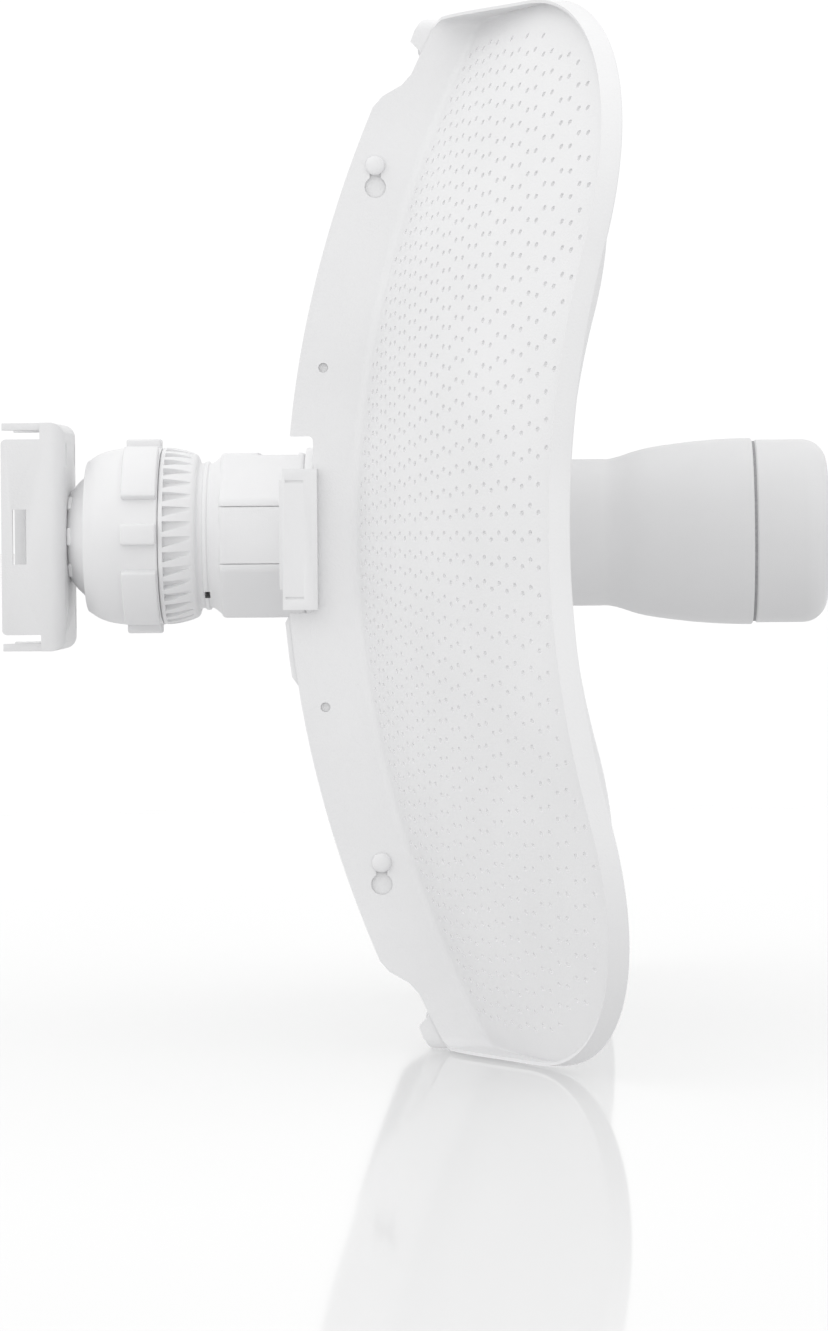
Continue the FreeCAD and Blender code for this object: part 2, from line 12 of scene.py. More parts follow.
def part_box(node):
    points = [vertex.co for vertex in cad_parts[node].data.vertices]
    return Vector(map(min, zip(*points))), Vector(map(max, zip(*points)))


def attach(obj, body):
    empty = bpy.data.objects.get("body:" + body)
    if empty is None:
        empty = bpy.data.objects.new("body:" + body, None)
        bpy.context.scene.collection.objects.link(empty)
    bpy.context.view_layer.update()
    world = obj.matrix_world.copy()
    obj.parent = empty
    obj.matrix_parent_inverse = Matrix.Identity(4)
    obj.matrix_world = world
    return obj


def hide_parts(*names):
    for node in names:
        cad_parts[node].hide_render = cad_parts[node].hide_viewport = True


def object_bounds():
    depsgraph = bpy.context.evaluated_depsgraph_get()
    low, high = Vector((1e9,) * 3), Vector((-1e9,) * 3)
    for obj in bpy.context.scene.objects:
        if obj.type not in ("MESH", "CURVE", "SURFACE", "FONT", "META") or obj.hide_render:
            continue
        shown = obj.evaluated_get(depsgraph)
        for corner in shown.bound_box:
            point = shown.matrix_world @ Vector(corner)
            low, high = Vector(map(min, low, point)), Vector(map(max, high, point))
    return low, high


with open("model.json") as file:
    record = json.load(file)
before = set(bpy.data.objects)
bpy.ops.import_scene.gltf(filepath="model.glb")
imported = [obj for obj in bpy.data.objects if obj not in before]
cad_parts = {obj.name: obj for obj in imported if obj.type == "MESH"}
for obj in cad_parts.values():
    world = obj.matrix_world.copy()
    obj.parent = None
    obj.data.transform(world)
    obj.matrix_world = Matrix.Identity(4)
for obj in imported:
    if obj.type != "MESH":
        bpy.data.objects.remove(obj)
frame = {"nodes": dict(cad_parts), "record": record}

bl_info = {
    "name": "Wireless Bridge Builder",
    "version": (1, 0, 0),
    "blender": (4, 5, 0),
    "location": "View3D > Sidebar > Bridge",
    "description": "Builds the shells, perforated dish and finishes of an outdoor wireless bridge",
    "category": "Object",
}

MM = 0.001
CAD_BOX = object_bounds()
SADDLE_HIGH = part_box("mount_saddle")[1]
WING_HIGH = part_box("left_wing")[1]
CAP_LOW, CAP_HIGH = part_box("feed_cap")
TUBE_LOW, TUBE_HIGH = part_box("feed_tube")
VERTEX = SADDLE_HIGH[0] - 5 * MM
HALF_WIDTH = WING_HIGH[1]
HALF_HEIGHT = WING_HIGH[2]
SEAM = 110 * MM
WEB_NOTCH = (-25.7 * MM, 32.3 * MM)
CAMERA_ROLL = -0.49


class DishSizes(PropertyGroup):
    """Sizes of the perforated dish."""
    focal_length: FloatProperty(
        name="Focal length", description="Distance from the vertex to the focus",
        default=164.5 * MM, unit="LENGTH")
    corner: FloatProperty(
        name="Corner radius", description="Radius of the dish's four corners",
        default=82 * MM, unit="LENGTH")
    seam_corner: FloatProperty(
        name="Seam corner", description="Radius where a panel's rim meets its web",
        default=4 * MM, unit="LENGTH")
    rim_bend: FloatProperty(
        name="Rim bend", description="Outside radius of the bend at the rim",
        default=1.5 * MM, unit="LENGTH")
    seam_bend: FloatProperty(
        name="Seam bend", description="Outside radius of the bend at the seams",
        default=3.2 * MM, unit="LENGTH")
    sheet: FloatProperty(
        name="Sheet", description="Thickness of the panels", default=1.0 * MM, unit="LENGTH")
    rim_depth: FloatProperty(
        name="Rim depth", description="Depth of the bent rim", default=7.2 * MM, unit="LENGTH")
    web_depth: FloatProperty(
        name="Web depth", description="Depth of the webs at the seams", default=24 * MM, unit="LENGTH")
    web_end_depth: FloatProperty(
        name="Web end depth", description="Depth of a wing's web at its ends", default=16 * MM, unit="LENGTH")
    hole_radius: FloatProperty(
        name="Hole radius", description="Radius of each hole", default=0.88 * MM, unit="LENGTH")
    hole_sides: IntProperty(
        name="Hole sides", description="Corners of each hole's outline", default=8, min=5)
    ring_step: FloatProperty(
        name="Ring step", description="Distance from one ring of holes to the next",
        default=3.707 * MM, unit="LENGTH")
    key_ring: FloatProperty(
        name="Key ring", description="Radius of one ring of the even kind",
        default=238.55 * MM, unit="LENGTH")
    spokes: IntProperty(
        name="Spokes", description="Holes in a full ring", default=169, min=24)
    odd_lag: FloatProperty(
        name="Odd ring lag", description="How far the odd rings lag behind the even rings",
        default=-0.0101, subtype="ANGLE")
    rim_margin: FloatProperty(
        name="Rim margin", description="Band without holes along the outline",
        default=10.5 * MM, unit="LENGTH")
    seam_margin: FloatProperty(
        name="Seam margin", description="Band without holes along each seam",
        default=4.6 * MM, unit="LENGTH")
    hub_hole: FloatProperty(
        name="Hub hole", description="Radius of the hole for the casing", default=26.3 * MM, unit="LENGTH")


class BridgeColours(PropertyGroup):
    """Colours of the bridge's finishes."""
    coat: FloatVectorProperty(
        name="Powder coat", description="White coat of the dish", size=3, subtype="COLOR",
        default=(0.84, 0.84, 0.845), min=0, max=1)
    bracket: FloatVectorProperty(
        name="Bracket coat", description="Coat of the pole bracket", size=3, subtype="COLOR",
        default=(0.80, 0.80, 0.805), min=0, max=1)
    plastic: FloatVectorProperty(
        name="White plastic", description="Moulded mount and neck", size=3, subtype="COLOR",
        default=(0.84, 0.84, 0.845), min=0, max=1)
    radome: FloatVectorProperty(
        name="Radome plastic", description="Casing and feed cap", size=3, subtype="COLOR",
        default=(0.74, 0.74, 0.745), min=0, max=1)


def sizes():
    return bpy.context.scene.dish_sizes


def colours():
    return bpy.context.scene.bridge_colours


def deselect():
    if bpy.context.object and bpy.context.object.mode != "OBJECT":
        bpy.ops.object.mode_set(mode="OBJECT")
    bpy.ops.object.select_all(action="DESELECT")


def finish_piece(piece, name, body, stands_for=(), material=None, smooth=35):
    """Name and smooth a finished piece, give it its finish, attach it to its body and hide the parts it
    stands for.
    """
    deselect()
    piece.select_set(True)
    bpy.context.view_layer.objects.active = piece
    bpy.ops.object.transform_apply(location=True, rotation=True, scale=True)
    bpy.ops.object.shade_smooth_by_angle(angle=math.radians(smooth))
    piece.name = name
    piece.data.name = name
    if material:
        piece.data.materials.clear()
        piece.data.materials.append(material)
    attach(piece, body)
    if stands_for:
        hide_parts(*stands_for)
    return piece


def apply_modifier(piece, kind, **settings):
    deselect()
    piece.select_set(True)
    bpy.context.view_layer.objects.active = piece
    modifier = piece.modifiers.new(kind.title(), kind)
    for key, value in settings.items():
        setattr(modifier, key, value)
    bpy.ops.object.modifier_apply(modifier=modifier.name)


# Finishes

def new_finish(name):
    material = bpy.data.materials.new(name)
    material.use_nodes = True
    shader = material.node_tree.nodes["Principled BSDF"]
    return material, shader


def add_node(material, kind, **values):
    node = material.node_tree.nodes.new(kind)
    for key, value in values.items():
        if key in node.inputs:
            node.inputs[key].default_value = value
        else:
            setattr(node, key, value)
    return node


def join(material, start, end):
    material.node_tree.links.new(start, end)


def noise(material, scale, detail=2.0, roughness=0.5):
    place = add_node(material, "ShaderNodeTexCoord")
    texture = add_node(material, "ShaderNodeTexNoise", Scale=scale, Detail=detail, Roughness=roughness)
    join(material, place.outputs["Object"], texture.inputs["Vector"])
    return texture.outputs["Fac"]


def tone(material, source, low, high, start=0.3, end=0.7):
    ramp = add_node(material, "ShaderNodeValToRGB")
    ramp.color_ramp.elements[0].position = start
    ramp.color_ramp.elements[1].position = end
    ramp.color_ramp.elements[0].color = (*low, 1)
    ramp.color_ramp.elements[1].color = (*high, 1)
    join(material, source, ramp.inputs["Fac"])
    return ramp.outputs["Color"]


def spread(material, source, low, high):
    span = add_node(material, "ShaderNodeMapRange")
    span.inputs["To Min"].default_value = low
    span.inputs["To Max"].default_value = high
    join(material, source, span.inputs["Value"])
    return span.outputs["Result"]


def relief(material, shader, source, strength, distance):
    bump = add_node(material, "ShaderNodeBump")
    bump.inputs["Strength"].default_value = strength
    bump.inputs["Distance"].default_value = distance
    join(material, source, bump.inputs["Height"])
    join(material, bump.outputs["Normal"], shader.inputs["Normal"])


def shaded(colour, factor):
    return tuple(min(1.0, part * factor) for part in colour)


def powder_coat(name, colour):
    """Sprayed powder: fine orange peel, a little dust and uneven gloss."""
    material, shader = new_finish(name)
    clouds = noise(material, 22, 4)
    join(material, tone(material, clouds, shaded(colour, 0.975), shaded(colour, 1.015)),
         shader.inputs["Base Color"])
    join(material, spread(material, noise(material, 160, 3), 0.34, 0.52), shader.inputs["Roughness"])
    relief(material, shader, noise(material, 1500, 2), 0.22, 0.0004)
    shader.inputs["Specular IOR Level"].default_value = 0.45
    return material


def moulded_plastic(name, colour, gloss=0.42, grain=2600):
    """Moulded plastic with a fine spark-eroded grain and faint flow marks."""
    material, shader = new_finish(name)
    flow = noise(material, 14, 5, 0.6)
    join(material, tone(material, flow, shaded(colour, 0.975), shaded(colour, 1.02)),
         shader.inputs["Base Color"])
    join(material, spread(material, noise(material, 420, 3), gloss - 0.06, gloss + 0.1),
         shader.inputs["Roughness"])
    relief(material, shader, noise(material, grain, 3, 0.6), 0.16, 0.00025)
    shader.inputs["Specular IOR Level"].default_value = 0.5
    shader.inputs["Subsurface Weight"].default_value = 0.06
    shader.inputs["Subsurface Radius"].default_value = (0.002, 0.002, 0.002)
    return material


def brushed_metal(name, colour, roughness, direction):
    """Plated or milled metal with fine lines along one way."""
    material, shader = new_finish(name)
    place = add_node(material, "ShaderNodeTexCoord")
    stretch = add_node(material, "ShaderNodeMapping")
    stretch.inputs["Scale"].default_value = direction
    join(material, place.outputs["Object"], stretch.inputs["Vector"])
    lines = add_node(material, "ShaderNodeTexNoise", Scale=1.0, Detail=3.0)
    join(material, stretch.outputs["Vector"], lines.inputs["Vector"])
    join(material, tone(material, lines.outputs["Fac"], shaded(colour, 0.85), colour),
         shader.inputs["Base Color"])
    join(material, spread(material, lines.outputs["Fac"], roughness - 0.08, roughness + 0.12),
         shader.inputs["Roughness"])
    relief(material, shader, lines.outputs["Fac"], 0.15, 0.0001)
    shader.inputs["Metallic"].default_value = 1.0
    return material


def seal_rubber(name):
    material, shader = new_finish(name)
    specks = noise(material, 900, 4)
    join(material, tone(material, specks, (0.30, 0.30, 0.31), (0.38, 0.38, 0.39)),
         shader.inputs["Base Color"])
    shader.inputs["Roughness"].default_value = 0.75
    relief(material, shader, specks, 0.3, 0.0002)
    return material


def board_mask(name):
    """Green solder mask with straight copper tracks showing through."""
    material, shader = new_finish(name)
    place = add_node(material, "ShaderNodeTexCoord")
    tracks = add_node(material, "ShaderNodeTexBrick", Scale=160.0)
    tracks.inputs["Color1"].default_value = (0.02, 0.20, 0.09, 1)
    tracks.inputs["Color2"].default_value = (0.02, 0.17, 0.08, 1)
    tracks.inputs["Mortar"].default_value = (0.10, 0.34, 0.14, 1)
    turn = add_node(material, "ShaderNodeMapping")
    turn.inputs["Rotation"].default_value = (math.radians(90), 0, 0)
    join(material, place.outputs["Object"], turn.inputs["Vector"])
    join(material, turn.outputs["Vector"], tracks.inputs["Vector"])
    join(material, tracks.outputs["Color"], shader.inputs["Base Color"])
    relief(material, shader, tracks.outputs["Fac"], 0.3, 0.0001)
    shader.inputs["Roughness"].default_value = 0.3
    return material


def clear_lens(name):
    material, shader = new_finish(name)
    haze = noise(material, 500, 3)
    join(material, tone(material, haze, (0.85, 0.9, 0.95), (0.95, 0.98, 1.0)), shader.inputs["Base Color"])
    join(material, spread(material, haze, 0.05, 0.18), shader.inputs["Roughness"])
    shader.inputs["Transmission Weight"].default_value = 0.85
    return material


class Finishes:
    """The finished materials, filled in by the finishes operator."""
    by_slot = {}


class BRIDGE_OT_finishes(Operator):
    """Make the finishes and lay them on the parts that keep their shape"""
    bl_idname = "bridge.finishes"
    bl_label = "Finishes"

    def execute(self, context):
        tint = colours()
        Finishes.by_slot = {
            "panel_metal": powder_coat("panel_powder_coat", tint.coat),
            "bracket_metal": powder_coat("bracket_powder_coat", tint.bracket),
            "housing_plastic": moulded_plastic("housing_plastic", tint.plastic),
            "radome_plastic": moulded_plastic("radome_plastic", tint.radome, 0.36, 3200),
            "liner_plastic": moulded_plastic("liner_plastic", (0.06, 0.06, 0.065), 0.3),
            "dark_plastic": moulded_plastic("switch_plastic", (0.02, 0.02, 0.02), 0.4),
            "seal_rubber": seal_rubber("seal_rubber"),
            "zinc_steel": brushed_metal("zinc_plate", (0.62, 0.63, 0.65), 0.35, (200, 900, 900)),
            "tinned_steel": brushed_metal("tinned_sheet", (0.72, 0.73, 0.74), 0.28, (2000, 200, 300)),
            "board": board_mask("solder_mask"),
            "spreader_aluminium": brushed_metal("milled_aluminium", (0.78, 0.78, 0.79), 0.38,
                                                (300, 2400, 2400)),
            "lens": clear_lens("light_lens"),
        }
        for row in frame["record"]["subparts"]:
            mesh = frame["nodes"][row["node"]].data
            mesh.materials.clear()
            mesh.materials.append(Finishes.by_slot[row["material_slot"]])
        return {"FINISHED"}


# Perforated dish

def smoothstep(value, start, end):
    part = min(1.0, max(0.0, (value - start) / (end - start)))
    return part * part * (3 - 2 * part)


def surface_x(y, z):
    return VERTEX + (y * y + z * z) / (4 * sizes().focal_length)


def rounded_rectangle(low, high, low_corner, high_corner, step):
    """Points (y, z) with outward normals, going round from the lower corner at low y."""
    top = HALF_HEIGHT
    corners = (
        (low + low_corner, -top + low_corner, low_corner, 180),
        (high - high_corner, -top + high_corner, high_corner, 270),
        (high - high_corner, top - high_corner, high_corner, 0),
        (low + low_corner, top - low_corner, low_corner, 90),
    )
    loop = []
    for number, (y, z, radius, start) in enumerate(corners):
        turns = max(5, int(radius * math.pi / 2 / step))
        for i in range(turns + 1):
            angle = math.radians(start + 90 * i / turns)
            normal = (math.cos(angle), math.sin(angle))
            loop.append((y + radius * normal[0], z + radius * normal[1], *normal))
        after = corners[(number + 1) % 4]
        first = math.radians(after[3])
        end = (after[0] + after[2] * math.cos(first), after[1] + after[2] * math.sin(first))
        last = loop[-1]
        length = math.hypot(end[0] - last[0], end[1] - last[1])
        count = max(1, round(length / step))
        for i in range(1, count):
            part = i / count
            loop.append((last[0] + (end[0] - last[0]) * part, last[1] + (end[1] - last[1]) * part,
                         last[2], last[3]))
    return loop


def inside_distance(y, z):
    """Distance from a point of the dish to its rounded outline."""
    corner = sizes().corner
    across = abs(y) - (HALF_WIDTH - corner)
    up = abs(z) - (HALF_HEIGHT - corner)
    outside = math.hypot(max(across, 0), max(up, 0))
    return corner - outside - min(max(across, up), 0)


def hole_centres(low, high):
    """Centres of the holes between two Y values: rings about the axis, odd rings lagging."""
    dish = sizes()
    pitch = 2 * math.pi / dish.spokes
    reach = math.hypot(HALF_WIDTH, HALF_HEIGHT)
    outer_ring = math.ceil((reach - dish.key_ring) / dish.ring_step)
    centres = []
    for ring in range(-outer_ring, int(dish.key_ring / dish.ring_step)):
        radius = dish.key_ring - ring * dish.ring_step
        if radius < 34 * MM:
            continue
        thinning = 4 if radius < 48 * MM else 2 if radius < 92 * MM else 1
        lag = dish.odd_lag * thinning if ring % 2 else 0.0
        for spoke in range(0, dish.spokes, thinning):
            angle = spoke * pitch + lag
            y = radius * math.cos(angle)
            z = radius * math.sin(angle)
            between_seams = low + dish.seam_margin < y < high - dish.seam_margin
            if between_seams and inside_distance(y, z) > dish.rim_margin:
                centres.append((y, z))
    return centres


def fill_with_holes(outline, holes, extra):
    """Triangles of a flat outline with holes left out: points and index triples."""
    points = [Vector(p) for p in outline]
    edges = [(i, (i + 1) % len(outline)) for i in range(len(outline))]
    faces = []
    for hole in holes:
        start = len(points)
        points.extend(Vector(p) for p in hole)
        faces.append(list(range(start, start + len(hole))))
    points.extend(Vector(p) for p in extra)
    result = delaunay_2d_cdt(points, edges, faces, 1 if not faces else 0, 1e-7)
    filled, triangles, origins = result[0], result[2], result[5]
    kept = []
    for tri, origin in zip(triangles, origins):
        if origin:
            continue
        if max(tri) < len(outline):
            centre = sum((filled[i] for i in tri), Vector((0, 0))) / 3
            if not inside_polygon(centre, outline):
                continue
        kept.append(tri)
    return filled, kept


def inside_polygon(point, polygon):
    inside = False
    previous = polygon[-1]
    for corner in polygon:
        if (corner[1] > point[1]) != (previous[1] > point[1]):
            slope = (previous[0] - corner[0]) / (previous[1] - corner[1])
            if point[0] < corner[0] + slope * (point[1] - corner[1]):
                inside = not inside
        previous = corner
    return inside


def circle_points(centre, radius, count, start=0.0, sweep=2 * math.pi):
    steps = count if sweep >= 2 * math.pi else count - 1
    return [(centre[0] + radius * math.cos(start + sweep * i / steps),
             centre[1] + radius * math.sin(start + sweep * i / steps)) for i in range(count)]


def keyhole(x, z):
    """A round hole with a narrower slot up to a peg at (x, z)."""
    wide, narrow, drop = 3.5 * MM, 1.8 * MM, 7.1 * MM
    lean = math.asin(narrow / wide)
    body = circle_points((x, z - drop), wide, 21, math.pi / 2 + lean, 2 * math.pi - 2 * lean)
    end = circle_points((x, z), narrow, 9, 0.0, math.pi)
    return body + end


def bend_radius(y):
    """Soft at the seams, tighter along the rim."""
    dish = sizes()
    from_seam = smoothstep(abs(abs(y) - SEAM), 5 * MM, 30 * MM)
    return dish.seam_bend + (dish.rim_bend - dish.seam_bend) * from_seam


def wing_web_depth(z):
    dish = sizes()
    blend = smoothstep(abs(z), 141 * MM, 149.5 * MM)
    return dish.web_depth + (dish.web_end_depth - dish.web_depth) * blend


def centre_web_depth(z):
    """Hidden behind the wing's web, apart from a tongue below the mount and an ear at each end."""
    tongue = 2.0 * MM * smoothstep(z, -48.1 * MM, -46.6 * MM) * (1 - smoothstep(z, -28.6 * MM, -27.1 * MM))
    lobe = (abs(z) - 164 * MM) / (6.2 * MM)
    ear = 6.2 * MM * math.sqrt(1 - lobe * lobe) if abs(lobe) < 1 else 0.0
    return wing_web_depth(z) - 0.4 * MM + tongue + ear


def wing_rim_depth(y):
    dish = sizes()
    blend = smoothstep(y, SEAM + 4 * MM, SEAM + 55 * MM)
    return dish.web_end_depth + (dish.rim_depth - dish.web_end_depth) * blend


def centre_rim_depth(y):
    dish = sizes()
    ear = centre_web_depth(165 * MM)
    return dish.rim_depth + (ear - dish.rim_depth) * smoothstep(abs(y), SEAM - 16 * MM, SEAM + 1 * MM)


def web_patch(run, depth, plane_y, holes, notch):
    """Flat web under one seam: run is the row of (x, z) under the bend, in rising z."""
    top = [(x, z) for x, z in run]
    rear = []
    for x, z in run:
        base = surface_x(plane_y, z) - depth(z)
        if notch[0] < z < notch[1]:
            continue
        rear.append((base, z))
    low = (surface_x(plane_y, notch[0]) - depth(notch[0]), notch[0])
    high = (surface_x(plane_y, notch[1]) - depth(notch[1]), notch[1])
    floor_x = VERTEX + 3.6 * MM
    fillet = 1.6 * MM
    notch_path = [low]
    notch_path += circle_points((floor_x - fillet, notch[0] + fillet), fillet, 6, -math.pi / 2, math.pi / 2)
    notch_path += circle_points((floor_x - fillet, notch[1] - fillet), fillet, 6, 0, math.pi / 2)
    notch_path.append(high)
    rear = [p for p in rear if p[1] <= notch[0]] + notch_path + [p for p in rear if p[1] >= notch[1]]
    middles = [((top[i][0] + rear[i][0]) / 2, top[i][1]) for i in (0, -1)]
    outline = list(reversed(top)) + [middles[0]] + rear + [middles[1]]
    outline = outline[::-1]
    return fill_with_holes(outline, holes, [])


def add_faces(mesh, points, polygons, flip=False):
    made = [mesh.verts.new(p) for p in points]
    for polygon in polygons:
        corners = [made[i] for i in polygon]
        if flip:
            corners.reverse()
        if len(set(corners)) > 2:
            mesh.faces.new(corners)


def pressed_panel(name, low, high, low_corner, high_corner, webs, rim_depth, hub, mirrored):
    """One pressed panel: perforated sheet, bent rim and flat webs, as a thick closed shell."""
    dish = sizes()
    loop = rounded_rectangle(low, high, low_corner, high_corner, 3.6 * MM)
    bends = [bend_radius(y) for y, z, ny, nz in loop]
    inner = [(y - ny * bend, z - nz * bend) for (y, z, ny, nz), bend in zip(loop, bends)]
    holes = []
    for y, z in hole_centres(low, high):
        start = math.atan2(z, y)
        holes.append(circle_points((y, z), dish.hole_radius, dish.hole_sides + 1, start)[:dish.hole_sides])
    if hub:
        holes.append(circle_points((0, 0), dish.hub_hole, 72))
    extra = []
    for inset in (5.5 * MM, 9.5 * MM):
        for y, z, ny, nz in loop[::2]:
            point = (y - ny * inset, z - nz * inset)
            if inside_distance(*point) > 4 * MM and low + 6 * MM < point[0] < high - 6 * MM:
                extra.append(point)
    flat, triangles = fill_with_holes(inner, holes, extra)
    mesh = bmesh.new()
    add_faces(mesh, [(surface_x(*p), p[0], p[1]) for p in flat], triangles)

    rows = [[(surface_x(*p), p[0], p[1]) for p in inner]]
    for step in range(1, 5):
        angle = math.radians(22.5 * step)
        row = []
        for (y, z, ny, nz), start, bend in zip(loop, inner, bends):
            across = (start[0] + ny * bend * math.sin(angle), start[1] + nz * bend * math.sin(angle))
            row.append((surface_x(*across) - bend * (1 - math.cos(angle)), *across))
        rows.append(row)
    ends = []
    for y, z, ny, nz in loop:
        depth = rim_depth(y)
        for web_y, web_depth, web_holes in webs:
            if abs(y - web_y) < 1e-6:
                depth = web_depth(z)
        ends.append((surface_x(y, z) - depth, y, z))
    rows.append([tuple((a + b) / 2 for a, b in zip(p, q)) for p, q in zip(rows[-1], ends)])
    rows.append(ends)
    count = len(loop)
    on_web = [any(abs(p[0] - web[0]) < 1e-6 for web in webs) for p in loop]
    for level in range(len(rows) - 1):
        for i in range(count):
            after = (i + 1) % count
            if level >= 4 and on_web[i] and on_web[after]:
                continue
            add_faces(mesh, [rows[level][i], rows[level + 1][i], rows[level + 1][after], rows[level][after]],
                      [(0, 1, 2, 3)])
    for web_y, web_depth, web_holes in webs:
        run = sorted(((rows[4][i][0], rows[4][i][2]) for i in range(count) if abs(loop[i][0] - web_y) < 1e-6),
                     key=lambda p: p[1])
        verts, tris = web_patch(run, web_depth, web_y, web_holes, WEB_NOTCH)
        add_faces(mesh, [(p[0], web_y, p[1]) for p in verts], tris, flip=web_y > (low + high) / 2)
    bmesh.ops.remove_doubles(mesh, verts=mesh.verts, dist=2e-6)
    if mirrored:
        for vert in mesh.verts:
            vert.co.y = -vert.co.y
        bmesh.ops.reverse_faces(mesh, faces=mesh.faces)
    data = bpy.data.meshes.new(name)
    mesh.to_mesh(data)
    mesh.free()
    panel = bpy.data.objects.new(name, data)
    bpy.context.collection.objects.link(panel)
    apply_modifier(panel, "SOLIDIFY", thickness=dish.sheet, offset=-1.0, use_even_offset=True,
                   use_quality_normals=True)
    return panel


class BRIDGE_OT_dish(Operator):
    """Make the centre panel and the two wings with all their holes"""
    bl_idname = "bridge.dish"
    bl_label = "Perforated dish"

    def execute(self, context):
        dish = sizes()
        gap = 0.15 * MM
        coat = Finishes.by_slot["panel_metal"]
        web_holes = [keyhole(VERTEX + 24.8 * MM, 120.8 * MM), keyhole(VERTEX + 25 * MM, -107.6 * MM),
                     circle_points((VERTEX + 7.2 * MM, 54.7 * MM), 1.6 * MM, 16),
                     circle_points((VERTEX + 7 * MM, -56.6 * MM), 1.6 * MM, 16)]
        for name, mirrored in (("right_wing", True), ("left_wing", False)):
            wing = pressed_panel(name + "_perforated", SEAM + gap, HALF_WIDTH, dish.seam_corner, dish.corner,
                                 [(SEAM + gap, wing_web_depth, web_holes)], wing_rim_depth, False, mirrored)
            finish_piece(wing, name + "_perforated", "head", [name], coat)
        edge = SEAM - gap
        centre = pressed_panel("centre", -edge, edge, dish.seam_corner, dish.seam_corner,
                               [(-edge, centre_web_depth, []), (edge, centre_web_depth, [])],
                               centre_rim_depth, True, False)
        finish_piece(centre, "centre_panel_perforated", "head", ["centre_panel"], coat)
        return {"FINISHED"}


# Turned pieces

def turned(name, stations, segments=96):
    """Lathe-like piece about the X axis, extruded ring by ring; both ends are filled."""
    deselect()
    x, radius = stations[0]
    bpy.ops.mesh.primitive_circle_add(vertices=segments, radius=radius, fill_type="NGON",
                                      location=(x, 0, 0), rotation=(0, math.pi / 2, 0))
    piece = bpy.context.object
    bpy.ops.object.transform_apply(location=True, rotation=True, scale=True)
    bpy.ops.object.mode_set(mode="EDIT")
    bpy.ops.mesh.select_all(action="SELECT")
    for next_x, next_radius in stations[1:]:
        bpy.ops.mesh.extrude_region_move(TRANSFORM_OT_translate={"value": (next_x - x, 0, 0)})
        scale = next_radius / radius
        bpy.ops.transform.resize(value=(1, scale, scale), center_override=(next_x, 0, 0))
        x, radius = next_x, next_radius
    bpy.ops.mesh.select_all(action="SELECT")
    bpy.ops.mesh.normals_make_consistent(inside=False)
    bpy.ops.object.mode_set(mode="OBJECT")
    piece.name = name
    return piece


def arc_stations(centre_x, centre_r, radius, start, end, count):
    """Stations along an arc in the (x, radius) plane, angles in degrees from +X."""
    found = []
    for i in range(count + 1):
        angle = math.radians(start + (end - start) * i / count)
        found.append((centre_x + radius * math.cos(angle), centre_r + radius * math.sin(angle)))
    return found


def smooth_stations(knots, count):
    """Stations along a smooth curve through (x, radius) knots."""
    found = []
    for i in range(len(knots) - 1):
        p0 = knots[max(i - 1, 0)]
        p1, p2 = knots[i], knots[i + 1]
        p3 = knots[min(i + 2, len(knots) - 1)]
        for step in range(count):
            t = step / count
            found.append(tuple(
                0.5 * (2 * b + (c - a) * t + (2 * a - 5 * b + 4 * c - d) * t * t
                       + (3 * b - a - 3 * c + d) * t ** 3)
                for a, b, c, d in zip(p0, p1, p2, p3)))
    found.append(knots[-1])
    return found


class BRIDGE_OT_casing(Operator):
    """Make the radio casing and its feed cap"""
    bl_idname = "bridge.casing"
    bl_label = "Casing and cap"

    def execute(self, context):
        plastic = Finishes.by_slot["radome_plastic"]
        flare = [(VERTEX + x * MM, r * MM) for x, r in
                 ((98, 25.6), (101.3, 25.6), (105.5, 26.6), (111, 28.4), (117, 29.7), (124.5, 30.75),
                  (131, 31.5), (138, 32.05), (144, 32.35), (148, 32.5))]
        outer = [(TUBE_LOW[0], 23.6 * MM), (TUBE_LOW[0], 25.3 * MM), (TUBE_LOW[0] + 0.4 * MM, 25.6 * MM)]
        outer += smooth_stations(flare, 4)
        outer += [(TUBE_HIGH[0] - 0.5 * MM, 32.5 * MM), (TUBE_HIGH[0], 32.0 * MM), (TUBE_HIGH[0], 30.4 * MM),
                  (TUBE_HIGH[0] - 1.5 * MM, 30.3 * MM), (VERTEX + 124 * MM, 28.5 * MM),
                  (VERTEX + 100 * MM, 23.4 * MM), (TUBE_LOW[0] + 1 * MM, 23.4 * MM)]
        tube = turned("casing", outer, 128)
        finish_piece(tube, "casing_shell", "head", ["feed_tube"], plastic)
        tip = CAP_HIGH[0]
        wide = 31.9 * MM
        corner = 8.6 * MM
        cap = [(CAP_LOW[0] + 3 * MM, 30 * MM), (CAP_LOW[0], 30.2 * MM), (CAP_LOW[0], wide - 0.5 * MM),
               (CAP_LOW[0] + 0.5 * MM, wide)]
        cap += [(tip - corner - 1.0 * MM, wide)]
        cap += arc_stations(tip - corner - 0.75 * MM, wide - corner, corner, 85, 8, 10)
        cap += [(tip - 0.45 * MM, 18 * MM), (tip - 0.15 * MM, 11 * MM), (tip, 4 * MM), (tip, 1 * MM)]
        piece = turned("cap", cap, 128)
        finish_piece(piece, "feed_cap_shell", "head", ["feed_cap"], plastic)
        return {"FINISHED"}


# Mount pieces

